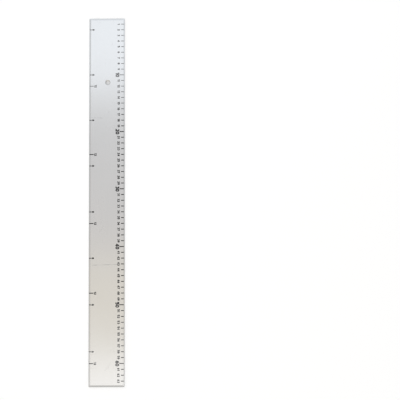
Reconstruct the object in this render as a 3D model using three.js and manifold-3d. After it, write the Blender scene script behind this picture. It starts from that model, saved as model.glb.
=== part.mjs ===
// Cake portion marker: a flat aluminium rule that lies across a tray to mark the cuts.
// It lies on its back. X runs along the blade away from the zero end, Y runs across it
// towards the centimetre scale, and Z points up, out of the marked face. Millimetres.
import * as THREE from 'three';
import { mergeVertices } from 'three/addons/utils/BufferGeometryUtils.js';
import Module from 'manifold-3d';

// Blade
const bladeLength = 640;
const bladeWidth = 62;
const bladeThickness = 2;
const cornerRadius = 1.5;
const bevelWidth = 3;
const bevelDrop = 0.4;
const backEdgeBreak = 0.2;

// Hanging hole: a bore that is countersunk at the marked face
const holeDiameter = 6;
const countersinkDiameter = 9;
const countersinkDepth = 0.6;
const holeBackChamfer = 0.3;
const holeFromZeroEnd = 113.5;
const holeFromCentreline = 1.5;

// Centimetre scale, on the +Y edge: every tenth mark is longer and a little wider
const scalePitch = 10;
const scaleMarksPerLongOne = 10;
const scaleMarkReach = 6.2;
const scaleMarkWidth = 1.1;
const tensMarkReach = 9;
const tensMarkWidth = 1.2;

// Portion marks, on the -Y edge: short ones for narrow slices, long ones for wide slices
const shortMarkStart = 20;
const shortMarkPitch = 80;
const shortMarkReach = 4.4;
const shortMarkWidth = 1.2;
const longMarkPitch = 120;
const longMarkReach = 7.6;
const longMarkWidth = 1;

// Engraved grooves and the black fill that lies on their floors
const engravingDepth = 0.2;
const fillRecess = 0.03;
const fillClearance = 0.03;
const marklessFarEnd = 5;

// Facets of the round forms, and how far a cutter runs past the surface it opens
const cornerSteps = 6;
const holeSteps = 48;
const cutOvershoot = 1;

const scaleSide = 1;
const portionSide = -1;
const millimetresPerCentimetre = 10;

const wasm = await Module();
wasm.setup();

// A closed solid from a geometry: equal vertices are merged and collapsed triangles dropped.
function toSolid(geometry) {
  geometry.deleteAttribute('normal');
  geometry.deleteAttribute('uv');
  const merged = mergeVertices(geometry);
  const corners = merged.index.array;
  const triangles = [];
  for (let i = 0; i < corners.length; i += 3) {
    const [a, b, c] = corners.slice(i, i + 3);
    if (a !== b && b !== c && c !== a) triangles.push(a, b, c);
  }
  return new wasm.Manifold(new wasm.Mesh({
    numProp: 3,
    vertProperties: new Float32Array(merged.attributes.position.array),
    triVerts: new Uint32Array(triangles),
  }));
}

function toGeometry(solid) {
  const { vertProperties, triVerts } = solid.getMesh();
  const geometry = new THREE.BufferGeometry();
  geometry.setAttribute('position', new THREE.BufferAttribute(vertProperties, 3));
  geometry.setIndex(new THREE.BufferAttribute(triVerts, 1));
  geometry.computeVertexNormals();
  return geometry;
}

// Turns that only swap axes: (x, y, z) goes to (z, x, y), or to (x, -z, y).
const alongX = new THREE.Matrix4().makeBasis(
  new THREE.Vector3(0, 1, 0), new THREE.Vector3(0, 0, 1), new THREE.Vector3(1, 0, 0));
const uprightXZ = new THREE.Matrix4().makeBasis(
  new THREE.Vector3(1, 0, 0), new THREE.Vector3(0, 0, 1), new THREE.Vector3(0, -1, 0));

function centredExtrusion(shape, depth, curveSegments) {
  const geometry = new THREE.ExtrudeGeometry(shape, { depth, curveSegments, bevelEnabled: false });
  return geometry.translate(0, 0, -depth / 2);
}

// Plan of the blade: a rectangle with rounded corners.
function planShape() {
  const x = bladeLength / 2 - cornerRadius;
  const y = bladeWidth / 2 - cornerRadius;
  const shape = new THREE.Shape();
  shape.absarc(x, y, cornerRadius, 0, Math.PI / 2);
  shape.absarc(-x, y, cornerRadius, Math.PI / 2, Math.PI);
  shape.absarc(-x, -y, cornerRadius, Math.PI, 1.5 * Math.PI);
  shape.absarc(x, -y, cornerRadius, 1.5 * Math.PI, 2 * Math.PI);
  return shape;
}

// Section of the blade: bevelled at the marked face, with its edges just broken at the back.
function sectionShape(span) {
  const half = span / 2;
  return new THREE.Shape([
    new THREE.Vector2(-half + backEdgeBreak, 0),
    new THREE.Vector2(half - backEdgeBreak, 0),
    new THREE.Vector2(half, backEdgeBreak),
    new THREE.Vector2(half, bladeThickness - bevelDrop),
    new THREE.Vector2(half - bevelWidth, bladeThickness),
    new THREE.Vector2(-half + bevelWidth, bladeThickness),
    new THREE.Vector2(-half, bladeThickness - bevelDrop),
    new THREE.Vector2(-half, backEdgeBreak),
  ]);
}

// The strip that plan, cross section and lengthwise section have in common.
function stripSolid() {
  const tall = bladeThickness + 2 * cutOvershoot;
  const plan = centredExtrusion(planShape(), tall, cornerSteps);
  plan.translate(0, 0, bladeThickness / 2);
  const crossBar = centredExtrusion(sectionShape(bladeWidth), bladeLength + 2 * cutOvershoot);
  crossBar.applyMatrix4(alongX);
  const lengthBar = centredExtrusion(sectionShape(bladeLength), bladeWidth + 2 * cutOvershoot);
  lengthBar.applyMatrix4(uprightXZ);
  return toSolid(plan).intersect(toSolid(crossBar)).intersect(toSolid(lengthBar));
}

// Cutter of the hanging hole: a bore with a small chamfer at the back and a wide cone at the marked face.
function holeCutter() {
  const radius = holeDiameter / 2;
  const mouth = countersinkDiameter / 2;
  const conePastFace = mouth + (mouth - radius) * cutOvershoot / countersinkDepth;
  const profile = [
    new THREE.Vector2(0, -cutOvershoot),
    new THREE.Vector2(radius + holeBackChamfer + cutOvershoot, -cutOvershoot),
    new THREE.Vector2(radius, holeBackChamfer),
    new THREE.Vector2(radius, bladeThickness - countersinkDepth),
    new THREE.Vector2(conePastFace, bladeThickness + cutOvershoot),
    new THREE.Vector2(0, bladeThickness + cutOvershoot),
  ];
  const cutter = new THREE.LatheGeometry(profile, holeSteps).applyMatrix4(uprightXZ);
  cutter.translate(holeFromZeroEnd - bladeLength / 2, holeFromCentreline, 0);
  return toSolid(cutter);
}

// Marks at a steady pitch, from the first one to the last that clears the far end.
function markSeries(start, pitch, side, reach, width, name) {
  const marks = [];
  for (let fromZero = start; fromZero <= bladeLength - marklessFarEnd; fromZero += pitch) {
    const centimetres = String(fromZero / millimetresPerCentimetre).padStart(2, '0');
    marks.push({ name: `${name}_${centimetres}`, x: fromZero - bladeLength / 2, side, reach, width });
  }
  return marks;
}

// Height of the marked side at a distance in from the blade's edge: level, and lower on the bevel.
function faceHeight(fromEdge) {
  return bladeThickness - bevelDrop * Math.max(0, 1 - fromEdge / bevelWidth);
}

// Bar across the blade's edge zone, between two depths under the marked side. It runs level from
// its inner end to the bevel, and then follows the bevel down to its outer end. A bar that ends
// on the bevel has no level stretch.
function markBar(side, innerEnd, outerEnd, topDepth, floorDepth, width) {
  const stations = innerEnd > bevelWidth ? [innerEnd, bevelWidth, outerEnd] : [innerEnd, outerEnd];
  const line = (depth) => stations.map((fromEdge) => new THREE.Vector2(
    side * (bladeWidth / 2 - fromEdge), faceHeight(fromEdge) - depth));
  const shape = new THREE.Shape([...line(topDepth), ...line(floorDepth).reverse()]);
  return centredExtrusion(shape, width).applyMatrix4(alongX);
}

// Groove of a mark: it is open at the blade's edge and as deep on the bevel as on the face.
function grooveCutter({ x, side, reach, width }) {
  const bar = markBar(side, reach, -cutOvershoot, -cutOvershoot, engravingDepth, width);
  return toSolid(bar.translate(x, 0, 0));
}

// Fill of a mark: it lies on the groove's floor, clear of its walls and a little below the face.
function fillMesh({ name, x, side, reach, width }) {
  const innerEnd = reach - fillClearance;
  const fillWidth = width - 2 * fillClearance;
  const mesh = new THREE.Mesh(
    markBar(side, innerEnd, fillClearance, fillRecess, engravingDepth, fillWidth),
    new THREE.MeshStandardMaterial({ color: '#1c1c1e', roughness: 0.55, metalness: 0 }));
  mesh.name = name;
  mesh.position.x = x;
  return mesh;
}

function bladeMesh(marks) {
  let solid = stripSolid().subtract(holeCutter());
  for (const mark of marks) solid = solid.subtract(grooveCutter(mark));
  const mesh = new THREE.Mesh(
    toGeometry(solid),
    new THREE.MeshStandardMaterial({
      color: '#c9cacb', roughness: 0.36, metalness: 1, flatShading: true,
    }));
  mesh.name = 'blade';
  return mesh;
}

// The wider groove of a tens mark takes in the scale mark at its place.
const tensPitch = scalePitch * scaleMarksPerLongOne;
const tensMarks = markSeries(tensPitch, tensPitch, scaleSide, tensMarkReach, tensMarkWidth, 'tens_mark');
const scaleMarks = markSeries(
  scalePitch, scalePitch, scaleSide, scaleMarkReach, scaleMarkWidth, 'scale_mark');
const shortMarks = markSeries(
  shortMarkStart, shortMarkPitch, portionSide, shortMarkReach, shortMarkWidth, 'short_mark');
const longMarks = markSeries(
  longMarkPitch, longMarkPitch, portionSide, longMarkReach, longMarkWidth, 'long_mark');

const filledMarks = [...tensMarks, ...shortMarks, ...longMarks];
const marker = new THREE.Group();
marker.add(bladeMesh([...scaleMarks, ...filledMarks]));
for (const mark of filledMarks) marker.add(fillMesh(mark));

export default marker;
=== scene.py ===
import math

import bpy
import numpy as np
from mathutils import Matrix, Vector


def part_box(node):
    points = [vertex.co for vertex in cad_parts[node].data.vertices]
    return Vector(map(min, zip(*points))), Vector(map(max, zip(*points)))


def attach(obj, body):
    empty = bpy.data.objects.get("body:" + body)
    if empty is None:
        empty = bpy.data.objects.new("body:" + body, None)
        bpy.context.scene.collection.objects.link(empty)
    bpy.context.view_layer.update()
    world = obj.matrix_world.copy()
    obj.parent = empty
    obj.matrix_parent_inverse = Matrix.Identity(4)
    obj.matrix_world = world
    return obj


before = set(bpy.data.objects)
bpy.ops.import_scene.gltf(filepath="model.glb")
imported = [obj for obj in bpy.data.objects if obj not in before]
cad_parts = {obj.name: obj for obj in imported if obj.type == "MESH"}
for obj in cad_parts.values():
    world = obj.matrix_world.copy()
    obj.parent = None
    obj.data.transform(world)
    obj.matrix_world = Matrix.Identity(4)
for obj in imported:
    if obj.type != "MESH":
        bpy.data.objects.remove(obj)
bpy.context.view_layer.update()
mm = 0.001
bladeLow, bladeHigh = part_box("blade")
faceZ = bladeHigh.z          # the marked face
zeroX = bladeLow.x           # the end that the scale starts from
scaleEdgeY = bladeHigh.y     # the edge with the centimetre scale
portionEdgeY = bladeLow.y    # the edge with the portion marks
bladeBevel = {"width": 3.0 * mm, "drop": 0.4 * mm}  # round the marked face
print("frame loaded:", len(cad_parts), "nodes")


def addMesh(name, verts, faces, material):
    # a new mesh object at the origin, from points and corner lists
    mesh = bpy.data.meshes.new(name)
    mesh.from_pydata(verts, [], faces)
    mesh.update()
    mesh.materials.append(material)
    piece = bpy.data.objects.new(name, mesh)
    bpy.context.scene.collection.objects.link(piece)
    return piece


def newMaterial(name):
    material = bpy.data.materials.new(name)
    material.use_nodes = True
    tree = material.node_tree
    return material, tree, tree.nodes["Principled BSDF"]


def addNode(tree, kind, values=None, **settings):
    node = tree.nodes.new(kind)
    for key, value in settings.items():
        setattr(node, key, value)
    for socket, value in (values or {}).items():
        node.inputs[socket].default_value = value
    return node


def objectNoise(tree, size, detail, roughness=0.5, turnDeg=0):
    # noise on Object coordinates: size is the spread of its grain in metres, before the turn about Z
    coords = addNode(tree, "ShaderNodeTexCoord")
    turn = (0, 0, math.radians(turnDeg))
    mapping = addNode(tree, "ShaderNodeMapping", {"Scale": size, "Rotation": turn}, vector_type="TEXTURE")
    noise = addNode(tree, "ShaderNodeTexNoise", {"Scale": 1, "Detail": detail, "Roughness": roughness})
    tree.links.new(coords.outputs["Object"], mapping.inputs["Vector"])
    tree.links.new(mapping.outputs["Vector"], noise.inputs["Vector"])
    return noise.outputs["Fac"]


def objectAxes(tree):
    coords = addNode(tree, "ShaderNodeTexCoord")
    split = addNode(tree, "ShaderNodeSeparateXYZ")
    tree.links.new(coords.outputs["Object"], split.inputs["Vector"])
    return split.outputs["X"], split.outputs["Y"]


def remap(tree, source, fromLow, fromHigh, toLow, toHigh, smooth=False):
    node = addNode(tree, "ShaderNodeMapRange",
                   {"From Min": fromLow, "From Max": fromHigh, "To Min": toLow, "To Max": toHigh})
    node.interpolation_type = "SMOOTHSTEP" if smooth else "LINEAR"
    tree.links.new(source, node.inputs["Value"])
    return node.outputs["Result"]


def maths(tree, operation, *values):
    # a Math node on sockets and plain numbers, or a chain of them for more than two values
    if len(values) > 2:
        values = (maths(tree, operation, *values[:-1]), values[-1])
    node = addNode(tree, "ShaderNodeMath", operation=operation)
    for place, value in enumerate(values):
        if isinstance(value, (int, float)):
            node.inputs[place].default_value = value
        else:
            tree.links.new(value, node.inputs[place])
    return node.outputs[0]


def lineMask(tree, source, middle, halfWidth):
    # 1 where the source is at middle, falling to 0 at halfWidth to either side
    away = maths(tree, "ABSOLUTE", maths(tree, "SUBTRACT", source, middle))
    return remap(tree, away, 0, halfWidth, 1, 0, smooth=True)


def mixColour(tree, factor, first, second):
    # first and second are sockets or plain colours
    node = addNode(tree, "ShaderNodeMix", data_type="RGBA")
    tree.links.new(factor, node.inputs["Factor"])
    for socket, value in ((node.inputs[6], first), (node.inputs[7], second)):
        if isinstance(value, tuple):
            socket.default_value = value
        else:
            tree.links.new(value, socket)
    return node.outputs[2]


def addBump(tree, shader, relief, strength, distance):
    bump = addNode(tree, "ShaderNodeBump", {"Strength": strength, "Distance": distance})
    tree.links.new(relief, bump.inputs["Height"])
    tree.links.new(bump.outputs["Normal"], shader.inputs["Normal"])


# a name that ends in Limits gives the two values of a noise between which the look changes
aluminium = {
    "bright": (0.80, 0.80, 0.803, 1), "dull": (0.768, 0.77, 0.775, 1),
    "brush": {"size": (0.20, 1.1 * mm, 1.1 * mm), "detail": 6, "roughness": 0.62},  # long along X
    "grain": {"size": (0.06, 0.3 * mm, 0.3 * mm), "detail": 4, "roughness": 0.6},
    "smudge": {"size": (0.07, 0.05, 0.05), "detail": 4, "roughness": 0.55},
    "brushShare": 0.6, "toneLimits": (0.34, 0.62),      # the tone is brush, and smudge for the rest
    "roughness": (0.19, 0.27), "roughnessLimits": (0.3, 0.7),
    "bumpStrength": 0.10, "bumpDistance": 0.03 * mm,
    "scored": (0.50, 0.50, 0.51, 1), "scoredRoughness": 0.25, "scoredDepth": 1.5,
    "ground": (0.73, 0.735, 0.74, 1), "groundShare": 0.8, "groundBlend": 0.05 * mm,  # on the bevels
}
scratches = {
    "layers": [{"turnDeg": 9, "size": (0.13, 3.0 * mm, 1), "patch": 0.021},
               {"turnDeg": 74, "size": (0.05, 2.2 * mm, 1), "patch": 0.027},
               {"turnDeg": -31, "size": (0.08, 2.6 * mm, 1), "patch": 0.034}],
    "middle": 0.5, "halfWidth": 0.008,  # of the noise, not in metres
    "patchLimits": (0.54, 0.66), "share": 0.2,
}
hairlines = {
    "lines": [{"x": 0.1113, "slope": -0.024, "fromY": -0.027, "toY": 0.022, "halfWidth": 0.8 * mm},
              {"x": -0.1437, "slope": 0.03, "fromY": -0.026, "toY": -0.006, "halfWidth": 0.6 * mm}],
    "fade": 3 * mm, "patch": 0.012, "patchLimits": (0.36, 0.6), "least": 0.25, "share": 0.9,
}
# painted shade: a dark band along the long edges and the ends, uneven in patches, stronger at the scale
# edge
paintedEdgeShade = {
    "colour": (0.36, 0.36, 0.37, 1), "share": (0.3, 0.8), "reach": 0.9 * mm,  # shares at -Y and +Y
    "patch": {"size": (0.014, 0.004, 0.004), "detail": 4, "roughness": 0.6},
    "patchLimits": (0.35, 0.65), "least": 0.45, "roughness": 0.2,
}


def scratchMask(tree):
    # thin lines where stretched noise crosses its middle, kept only in scattered patches
    masks = []
    for layer in scratches["layers"]:
        streaks = objectNoise(tree, layer["size"], detail=1, roughness=0.4, turnDeg=layer["turnDeg"])
        lines = lineMask(tree, streaks, scratches["middle"], scratches["halfWidth"])
        patches = objectNoise(tree, (layer["patch"],) * 3, detail=2)
        patches = remap(tree, patches, *scratches["patchLimits"], 0, 1, smooth=True)
        masks.append(maths(tree, "MULTIPLY", lines, patches))
    return maths(tree, "MAXIMUM", *masks)


def hairlineMask(tree):
    # a line x = x0 + slope * y between two values of y, worn through in places
    x, y = objectAxes(tree)
    fade = hairlines["fade"]
    patches = objectNoise(tree, (hairlines["patch"],) * 3, detail=2)
    worn = remap(tree, patches, *hairlines["patchLimits"], hairlines["least"], 1)
    masks = []
    for line in hairlines["lines"]:
        along = maths(tree, "SUBTRACT", x, maths(tree, "MULTIPLY", y, line["slope"]))
        mask = lineMask(tree, along, line["x"], line["halfWidth"])
        starts = remap(tree, y, line["fromY"], line["fromY"] + fade, 0, 1, smooth=True)
        ends = remap(tree, y, line["toY"] - fade, line["toY"], 1, 0, smooth=True)
        masks.append(maths(tree, "MULTIPLY", mask, starts, ends, worn))
    return maths(tree, "MAXIMUM", *masks)


def edgeMasks(tree):
    # from the distance in from the nearest edge: 1 on the bevel, and painted edge shade that fades
    # inwards and is uneven along the edge
    x, y = objectAxes(tree)
    fromSide = maths(tree, "SUBTRACT", scaleEdgeY, maths(tree, "ABSOLUTE", y))
    fromEnd = maths(tree, "SUBTRACT", -zeroX, maths(tree, "ABSOLUTE", x))
    inwards = maths(tree, "MINIMUM", fromSide, fromEnd)
    bevelEnd = bladeBevel["width"]
    onBevel = remap(tree, inwards, bevelEnd - aluminium["groundBlend"], bevelEnd, 1, 0)
    patches = objectNoise(tree, **paintedEdgeShade["patch"])
    uneven = remap(tree, patches, *paintedEdgeShade["patchLimits"], paintedEdgeShade["least"], 1)
    fading = remap(tree, inwards, 0, paintedEdgeShade["reach"], 1, 0)
    share = remap(tree, y, portionEdgeY, scaleEdgeY, *paintedEdgeShade["share"])
    return onBevel, maths(tree, "MULTIPLY", fading, uneven, share)


def satinAluminium():
    material, tree, shader = newMaterial("satinAluminium")
    look, links = aluminium, tree.links
    brush = objectNoise(tree, **look["brush"])
    grain = objectNoise(tree, **look["grain"])
    smudge = objectNoise(tree, **look["smudge"])
    tone = maths(tree, "ADD", maths(tree, "MULTIPLY", brush, look["brushShare"]),
                 maths(tree, "MULTIPLY", smudge, 1 - look["brushShare"]))
    scored = maths(tree, "MAXIMUM", maths(tree, "MULTIPLY", scratchMask(tree), scratches["share"]),
                   maths(tree, "MULTIPLY", hairlineMask(tree), hairlines["share"]))
    onBevel, edgeShade = edgeMasks(tree)

    face = mixColour(tree, remap(tree, tone, *look["toneLimits"], 0, 1), look["dull"], look["bright"])
    face = mixColour(tree, maths(tree, "MULTIPLY", onBevel, look["groundShare"]), face, look["ground"])
    # painted shade darkens the face along its edges
    face = mixColour(tree, edgeShade, face, paintedEdgeShade["colour"])
    links.new(mixColour(tree, scored, face, look["scored"]), shader.inputs["Base Color"])
    rough = maths(tree, "ADD", remap(tree, tone, *look["roughnessLimits"], *look["roughness"]),
                  maths(tree, "MULTIPLY", scored, look["scoredRoughness"]),
                  maths(tree, "MULTIPLY", edgeShade, paintedEdgeShade["roughness"]))
    links.new(rough, shader.inputs["Roughness"])
    relief = maths(tree, "SUBTRACT", maths(tree, "ADD", brush, grain),
                   maths(tree, "MULTIPLY", scored, look["scoredDepth"]))
    addBump(tree, shader, relief, look["bumpStrength"], look["bumpDistance"])
    shader.inputs["Metallic"].default_value = 1
    return material


ink = {
    "deep": (0.011, 0.011, 0.013, 1), "thin": (0.04, 0.04, 0.045, 1), "thinLimits": (0.45, 0.75),
    "patch": {"size": (0.7 * mm,) * 3, "detail": 4, "roughness": 0.6},
    "pit": {"size": (0.12 * mm,) * 3, "detail": 3, "roughness": 0.6},
    "patchLimits": (0.3, 0.7), "roughness": (0.42, 0.62), "specular": 0.35,
    "bumpStrength": 0.2, "bumpDistance": 0.02 * mm,
    # paler towards both ends, between two distances from zero
    "worn": (0.31, 0.31, 0.32, 1), "paleLimits": (0.35, 0.65), "paleLeast": 0.55,
    "zeroPaling": {"from": 0.10, "to": 0.22, "share": 0.95},
    "farPaling": {"from": 0.46, "to": 0.57, "share": 0.7},
    # rubbed off along the edges at -Y and +Y
    "bareReach": (0.65 * mm, 1.3 * mm), "bareRagged": 0.15 * mm, "bareBlend": 0.1 * mm,
    "bareRoughness": 0.27,
}


def rubbedMask(tree, patches, x):
    # paler ink that falls off from the zero end and grows again to the far end, stronger in patches
    fromZero = maths(tree, "SUBTRACT", x, zeroX)
    zeroEnd, farEnd = ink["zeroPaling"], ink["farPaling"]
    nearZero = remap(tree, fromZero, zeroEnd["from"], zeroEnd["to"], zeroEnd["share"], 0, smooth=True)
    nearFar = remap(tree, fromZero, farEnd["from"], farEnd["to"], 0, farEnd["share"], smooth=True)
    uneven = remap(tree, patches, *ink["paleLimits"], ink["paleLeast"], 1)
    return maths(tree, "MULTIPLY", maths(tree, "MAXIMUM", nearZero, nearFar), uneven)


def bareMask(tree, patches, y):
    # 1 along the two long edges, with a ragged border
    blend, ragged = ink["bareBlend"], ink["bareRagged"]
    place = maths(tree, "ADD", y, remap(tree, patches, *ink["patchLimits"], -ragged, ragged))
    low, high = portionEdgeY + ink["bareReach"][0], scaleEdgeY - ink["bareReach"][1]
    return maths(tree, "MAXIMUM",
                 remap(tree, place, low - blend, low + blend, 1, 0, smooth=True),
                 remap(tree, place, high - blend, high + blend, 0, 1, smooth=True))


def blackEnamel():
    material, tree, shader = newMaterial("blackEnamel")
    links = tree.links
    x, y = objectAxes(tree)
    patches = objectNoise(tree, **ink["patch"])
    pits = objectNoise(tree, **ink["pit"])
    thin = remap(tree, patches, *ink["thinLimits"], 0, 1, smooth=True)
    bare = bareMask(tree, patches, y)
    colour = mixColour(tree, thin, ink["deep"], ink["thin"])
    # the ink is made paler towards both ends, in patches
    colour = mixColour(tree, rubbedMask(tree, patches, x), colour, ink["worn"])
    links.new(mixColour(tree, bare, colour, aluminium["ground"]), shader.inputs["Base Color"])
    links.new(bare, shader.inputs["Metallic"])
    inked = remap(tree, patches, *ink["patchLimits"], *ink["roughness"])
    rough = maths(tree, "ADD", maths(tree, "MULTIPLY", inked, maths(tree, "SUBTRACT", 1, bare)),
                  maths(tree, "MULTIPLY", bare, ink["bareRoughness"]))
    links.new(rough, shader.inputs["Roughness"])
    shader.inputs["Specular IOR Level"].default_value = ink["specular"]
    addBump(tree, shader, maths(tree, "ADD", patches, pits), ink["bumpStrength"], ink["bumpDistance"])
    return material


metalFinish = satinAluminium()
inkFinish = blackEnamel()
for name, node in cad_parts.items():
    node.data.materials.clear()
    node.data.materials.append(metalFinish if name == "blade" else inkFinish)
print("finishes set on the solids")


def ellipseArc(centre, radii, startDeg, endDeg, steps=14):
    # point = centre + (rx cos a, ry sin a), with a running evenly from start to end
    a = np.radians(np.linspace(startDeg, endDeg, steps))
    return np.column_stack([centre[0] + radii[0] * np.cos(a), centre[1] + radii[1] * np.sin(a)])


def figurePaths(width, height, stroke):
    # middle lines of the ten figures in a box of that size, from straight runs and parts of ellipses:
    # for each line its points, whether it closes on itself, and its share of the stroke's width
    left, right, low, high = stroke / 2, width - stroke / 2, stroke / 2, height - stroke / 2
    middle, rx, span = width / 2, (right - left) / 2, high - low

    def loop(share, fromLow, radius):
        centre = (middle, low + fromLow * span)
        return ellipseArc(centre, (share * rx, radius * span), 0, 360, 27)[:-1], True, 1

    def line(*points, share=1):
        return np.array(points), False, share

    oval = np.vstack([ellipseArc((middle, high - 0.32 * span), (rx, 0.32 * span), 0, 180),
                      ellipseArc((middle, low + 0.32 * span), (rx, 0.32 * span), 180, 360)])
    hook = np.vstack([ellipseArc((middle, high - 0.28 * span), (rx, 0.28 * span), 165, -36),
                      [(left + 0.42 * stroke, low + 0.08 * span)]])
    upperBow = ellipseArc((middle - 0.06 * rx, high - 0.245 * span), (0.94 * rx, 0.245 * span), 155, -90)
    lowerBow = ellipseArc((middle, low + 0.255 * span), (rx, 0.255 * span), 90, -155)
    belly = ellipseArc((middle, low + 0.33 * span), (rx, 0.33 * span), 150, -155)
    bowl = loop(1, 0.3, 0.3)
    stem = ellipseArc((left + 1.68 * rx, low + 0.31 * span), (1.68 * rx, 0.69 * span), 180, 88)
    halfTurn = np.array([width, height])
    stemX, barY = width - 0.9 * stroke, 0.3 * height
    return {
        "0": [(oval, True, 1)],
        "1": [line((right, 0), (right, height)),
              line((right, high), (0.05 * width, high - 0.5 * right), share=0.85)],
        "2": [line(*hook), line((0.01 * width, low), (width, low))],
        "3": [line(*upperBow), line(*lowerBow)],
        "4": [line((stemX, 0), (stemX, height)),
              line((0.11 * width, barY), (stemX - 0.1 * stroke, height - 0.2 * stroke), share=0.7),
              line((0, barY), (width, barY), share=0.72)],
        "5": [line((0.95 * width, high), (left, high), (left, low + 0.48 * span)), line(*belly)],
        "6": [bowl, line(*stem)],
        "7": [line((0, high), (right - 0.1 * stroke, high), (left + 0.4 * rx, 0.15 * stroke))],
        "8": [loop(0.9, 0.765, 0.235), loop(1, 0.27, 0.27)],
        "9": [(halfTurn - bowl[0], True, 1), line(*(halfTurn - stem))],
    }


def tubeFaces(count, sides, closed):
    # corners of the walls between each ring of points and the next, and of the end caps of an open run
    ring = np.arange(count if closed else count - 1)[:, None] * sides
    side = np.arange(sides)[None, :]
    nextSide = (side + 1) % sides
    nextRing = (ring + sides) % (count * sides)
    walls = np.stack([ring + side, nextRing + side, nextRing + nextSide, ring + nextSide], -1)
    walls = walls.reshape(-1, 4)
    if closed:
        return walls
    lastRing = (count - 1) * sides + side
    return np.vstack([walls, side, lastRing[:, ::-1]])


def inkStroke(path, closed, halfWidth, low, high):
    # a rectangle carried along the path: each point moves sideways along (n1 + n2) / (1 + n1.n2), the
    # mitre of the normals of its two runs, so that the stroke keeps its width round a bend
    runs = np.roll(path, -1, 0) - path
    runs /= np.maximum(np.linalg.norm(runs, axis=1, keepdims=True), 1e-12)
    after = np.column_stack([-runs[:, 1], runs[:, 0]])
    before = np.roll(after, 1, 0)
    if not closed:
        after[-1], before[0] = before[-1], after[0]
    mitre = (before + after) / (1 + np.sum(before * after, axis=1, keepdims=True))
    across = np.array([-1, -1, 1, 1]) * halfWidth
    flat = path[:, None, :] + mitre[:, None, :] * across[None, :, None]
    height = np.broadcast_to([low, high, high, low], flat.shape[:2])
    return np.dstack([flat, height]).reshape(-1, 3), tubeFaces(*height.shape, closed)


def joinParts(parts):
    # one array of points and one of faces, each part's corners shifted past the points before it
    starts = np.cumsum([0] + [len(points) for points, corners in parts[:-1]])
    verts = np.vstack([points for points, corners in parts])
    faces = np.vstack([corners + start for (points, corners), start in zip(parts, starts)])
    return verts, faces


figureInk = {"proud": 0.008 * mm, "sunk": 0.03 * mm,
             "layer": 0.004 * mm,  # strokes that cross lie on each other
             "oneWidth": 0.66}     # a one is narrower than the other figures


def numberParts(text, centreX, centreY, style):
    # figures side by side, read along X with their tops towards +Y, the whole number centred on its mark
    height, stroke, gap = style["height"], style["stroke"], style["gap"]
    widths = [style["width"] * (figureInk["oneWidth"] if figure == "1" else 1) for figure in text]
    corner = np.array([centreX - (sum(widths) + gap * (len(text) - 1)) / 2, centreY - height / 2])
    low = faceZ - figureInk["sunk"]
    parts = []
    for figure, width in zip(text, widths):
        for layer, (path, closed, share) in enumerate(figurePaths(width, height, stroke)[figure]):
            high = faceZ + figureInk["proud"] + layer * figureInk["layer"]
            parts.append(inkStroke(path + corner, closed, share * stroke / 2, low, high))
        corner = corner + np.array([width + gap, 0])
    return parts


def addInk(name, parts):
    piece = addMesh(name, *joinParts(parts), inkFinish)
    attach(piece, "root")


# where the marks are, in centimetres from the zero end
tensMarks = range(10, 61, 10)
centimetreMarks = [number for number in range(1, 64) if number not in tensMarks]
shortMarks = range(2, 59, 8)
longMarks = range(12, 61, 12)


def markX(number):
    return zeroX + number * 10 * mm


scaleNumerals = {
    "centimetre_numerals": {"at": centimetreMarks, "fromEdge": 10.5 * mm, "height": 4.1 * mm,
                            "width": 3.0 * mm, "stroke": 1.16 * mm, "gap": 0.15 * mm},
    "tens_numerals": {"at": tensMarks, "fromEdge": 12.6 * mm, "height": 6.7 * mm,
                      "width": 4.7 * mm, "stroke": 1.82 * mm, "gap": 0.2 * mm},
}
portionLabels = {
    "short_mark_labels": {"at": shortMarks, "text": "8", "fromEdge": 7.1 * mm, "height": 4.1 * mm,
                          "width": 2.95 * mm, "stroke": 1.08 * mm, "gap": 0.25 * mm},
    "long_mark_labels": {"at": longMarks, "text": "12", "fromEdge": 11.2 * mm, "height": 4.0 * mm,
                         "width": 2.85 * mm, "stroke": 1.1 * mm, "gap": 0.2 * mm},
}


def addNumerals():
    for name, style in scaleNumerals.items():
        parts = []
        for number in style["at"]:
            parts += numberParts(str(number), markX(number), scaleEdgeY - style["fromEdge"], style)
        addInk(name, parts)
    for name, style in portionLabels.items():
        parts = []
        for number in style["at"]:
            parts += numberParts(style["text"], markX(number), portionEdgeY + style["fromEdge"], style)
        addInk(name, parts)


markInk = {  # start and reach are distances in from the edge, and side is +Y or -Y
    "centimetre_mark_ink": {"at": centimetreMarks, "side": 1,
                            "start": 1.2 * mm, "reach": 6.2 * mm, "width": 1.5 * mm},
    "tens_mark_ink": {"at": tensMarks, "side": 1,
                      "start": 1.2 * mm, "reach": 8.9 * mm, "width": 1.6 * mm},
    "short_mark_ink": {"at": shortMarks, "side": -1,
                       "start": 0.55 * mm, "reach": 4.5 * mm, "width": 1.4 * mm},
    "long_mark_ink": {"at": longMarks, "side": -1,
                      "start": 0.55 * mm, "reach": 8.0 * mm, "width": 1.5 * mm},
}
markCoat = {"proud": 0.008 * mm, "sunk": 0.19 * mm,
            "lapFrom": 12, "lapTo": 20, "lapless": 0.74}  # up to 12 cm the lap is rubbed off


def markBar(mark):
    # a rectangle carried outwards along Y, level and then down the bevel, about x = 0: the enamel fills
    # the groove and laps a little over its sides
    fromEdge = np.array([mark["reach"], bladeBevel["width"], mark["start"]])
    metal = faceZ - bladeBevel["drop"] * np.maximum(0, 1 - fromEdge / bladeBevel["width"])
    low, high = metal - markCoat["sunk"], metal + markCoat["proud"]
    height = np.stack([low, high, high, low], -1)
    half, side = mark["width"] / 2, mark["side"]
    across = np.broadcast_to(side * np.array([half, half, -half, -half]), height.shape)
    outwards = np.broadcast_to(side * (scaleEdgeY - fromEdge)[:, None], height.shape)
    return np.dstack([across, outwards, height]).reshape(-1, 3), tubeFaces(*height.shape, False)


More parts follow.
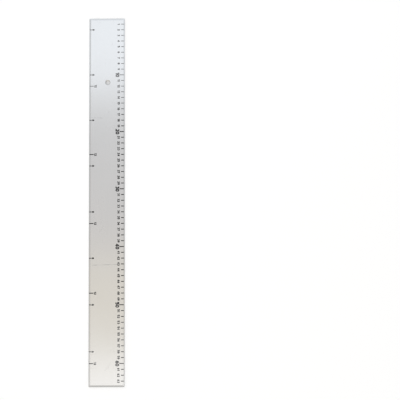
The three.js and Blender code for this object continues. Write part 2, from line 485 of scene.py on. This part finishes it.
def addMarkInk():
    for name, mark in markInk.items():
        bar, faces = markBar(mark)
        parts = []
        for number in mark["at"]:
            lap = np.interp(number, [markCoat["lapFrom"], markCoat["lapTo"]], [markCoat["lapless"], 1])
            parts.append((bar * np.array([lap, 1, 1]) + np.array([markX(number), 0, 0]), faces))
        addInk(name, parts)


addNumerals()
addMarkInk()
print("numerals, labels and mark ink set")

floorLook = {"half": 6.0, "below": 0.02 * mm, "colour": (0.80, 0.80, 0.80, 1), "roughness": 0.9,
             "lift": 0.47, "paintedShadowLift": 0.22}  # glow that whitens it, weaker under the blade as a painted shadow


def addFloor():
    material, tree, shader = newMaterial("paleFloor")
    half, z = floorLook["half"], bladeLow.z - floorLook["below"]
    corners = [(-half, -half, z), (half, -half, z), (half, half, z), (-half, half, z)]
    path = addNode(tree, "ShaderNodeLightPath")
    rays = [path.outputs[kind] for kind in ("Is Camera Ray", "Is Glossy Ray", "Is Transmission Ray")]
    seen = maths(tree, "MAXIMUM", *rays)
    x, y = objectAxes(tree)
    inLength = maths(tree, "LESS_THAN", maths(tree, "ABSOLUTE", x), -zeroX)
    inWidth = maths(tree, "LESS_THAN", maths(tree, "ABSOLUTE", y), scaleEdgeY)
    underBlade = maths(tree, "MULTIPLY", inLength, inWidth)
    # painted shadow: the glow is weaker under the blade, which darkens the floor seen through the hole
    lift = remap(tree, underBlade, 0, 1, floorLook["lift"], floorLook["paintedShadowLift"])
    shader.inputs["Base Color"].default_value = floorLook["colour"]
    shader.inputs["Roughness"].default_value = floorLook["roughness"]
    shader.inputs["Specular IOR Level"].default_value = 0
    shader.inputs["Emission Color"].default_value = (1, 1, 1, 1)
    tree.links.new(maths(tree, "MULTIPLY", seen, lift), shader.inputs["Emission Strength"])
    addMesh("floor", corners, [(0, 1, 2, 3)], material)


room = {
    "height": [(0.0, (1.10, 1.10, 1.10)), (0.3, (1.08, 1.08, 1.08)), (0.5, (0.60, 0.60, 0.60)),
               (0.85, (0.57, 0.57, 0.57)), (0.96, (0.74, 0.74, 0.74)), (1.0, (0.755, 0.755, 0.755))],
    "length": [(0.0, (0.98, 1.0, 1.03)), (0.44, (1.0, 1.0, 1.0)), (0.5, (0.98, 0.95, 0.93)),
               (0.68, (0.97, 0.945, 0.92)), (0.8, (0.90, 0.895, 0.885)), (1.0, (0.86, 0.855, 0.85))],
    "dimSide": {"from": 0.0, "to": 0.5, "level": 0.75},  # dimmer beyond the scale edge, at +Y
}


def colourStops(tree, stops):
    ramp = addNode(tree, "ShaderNodeValToRGB")
    while len(ramp.color_ramp.elements) < len(stops):
        ramp.color_ramp.elements.new(0.5)
    for element, (place, colour) in zip(ramp.color_ramp.elements, stops):
        element.position = place
        element.color = (*colour, 1)
    return ramp


def addRoomLight():
    # colour by height times colour along the blade, at a strength that falls off to one side
    world = bpy.data.worlds.new("room")
    bpy.context.scene.world = world
    world.use_nodes = True
    tree = world.node_tree
    links = tree.links
    coords = addNode(tree, "ShaderNodeTexCoord")
    split = addNode(tree, "ShaderNodeSeparateXYZ")
    links.new(coords.outputs["Generated"], split.inputs["Vector"])
    byHeight, byLength = colourStops(tree, room["height"]), colourStops(tree, room["length"])
    links.new(split.outputs["Z"], byHeight.inputs["Fac"])
    links.new(remap(tree, split.outputs["X"], -1, 1, 0, 1), byLength.inputs["Fac"])
    product = addNode(tree, "ShaderNodeVectorMath", operation="MULTIPLY")
    links.new(byHeight.outputs["Color"], product.inputs[0])
    links.new(byLength.outputs["Color"], product.inputs[1])
    background = tree.nodes["Background"]
    links.new(product.outputs["Vector"], background.inputs["Color"])
    dim = room["dimSide"]
    strength = remap(tree, split.outputs["Y"], dim["from"], dim["to"], 1, dim["level"], smooth=True)
    links.new(strength, background.inputs["Strength"])


lamps = {  # level panels that face down
    "coolPanel": {"at": (-0.79, -0.03, 1.0), "size": (0.80, 0.90), "level": 0.465,
                  "colour": (0.81, 0.895, 0.98)},
    "warmPanel": {"at": (0.585, -0.04, 1.0), "size": (0.29, 0.92), "level": 0.53,
                  "colour": (0.98, 0.98, 0.95)},
    "glowPanel": {"at": (0.46, -0.04, 1.0), "size": (0.68, 0.92), "level": 0.14,
                  "colour": (1.0, 0.82, 0.30)},
}


def addLamps():
    for name, lamp in lamps.items():
        width, depth = lamp["size"]
        data = bpy.data.lights.new(name, "AREA")
        data.shape = "RECTANGLE"
        data.size, data.size_y = width, depth
        data.energy = lamp["level"] * math.pi * width * depth  # watts for that radiance
        data.color = lamp["colour"]
        holder = bpy.data.objects.new(name, data)
        holder.location = lamp["at"]
        holder.visible_camera = False
        bpy.context.scene.collection.objects.link(holder)


viewpoint = {"distance": 1.2, "tiltDeg": 2.97, "turnDeg": -0.30, "ahead": -0.0006, "aside": 0.1617,
             "frameWidth": 0.6938, "sensor": 36.0, "clip": (0.01, 100)}


def addCamera():
    # looks down on the face from one side of its middle, with the zero end at the top of the picture
    v = viewpoint
    tilt = math.radians(v["tiltDeg"])
    turn = Matrix.Rotation(math.radians(v["turnDeg"]), 3, "Z")
    back = turn @ Vector((math.sin(tilt), 0, math.cos(tilt)))
    up = turn @ Vector((-math.cos(tilt), 0, math.sin(tilt)))
    right = up.cross(back)
    target = turn @ Vector((v["ahead"], v["aside"], 0)) + Vector((0, 0, faceZ))
    data = bpy.data.cameras.new("camera")
    data.sensor_width = v["sensor"]
    data.lens = v["sensor"] * v["distance"] / v["frameWidth"]
    data.clip_start, data.clip_end = v["clip"]
    camera = bpy.data.objects.new("camera", data)
    pose = Matrix((right, up, back)).transposed().to_4x4()
    camera.matrix_world = Matrix.Translation(target + back * v["distance"]) @ pose
    bpy.context.scene.collection.objects.link(camera)
    bpy.context.scene.camera = camera


addFloor()
addRoomLight()
addLamps()
addCamera()
bpy.context.scene.view_settings.view_transform = "Standard"
print("stage, light and camera set")
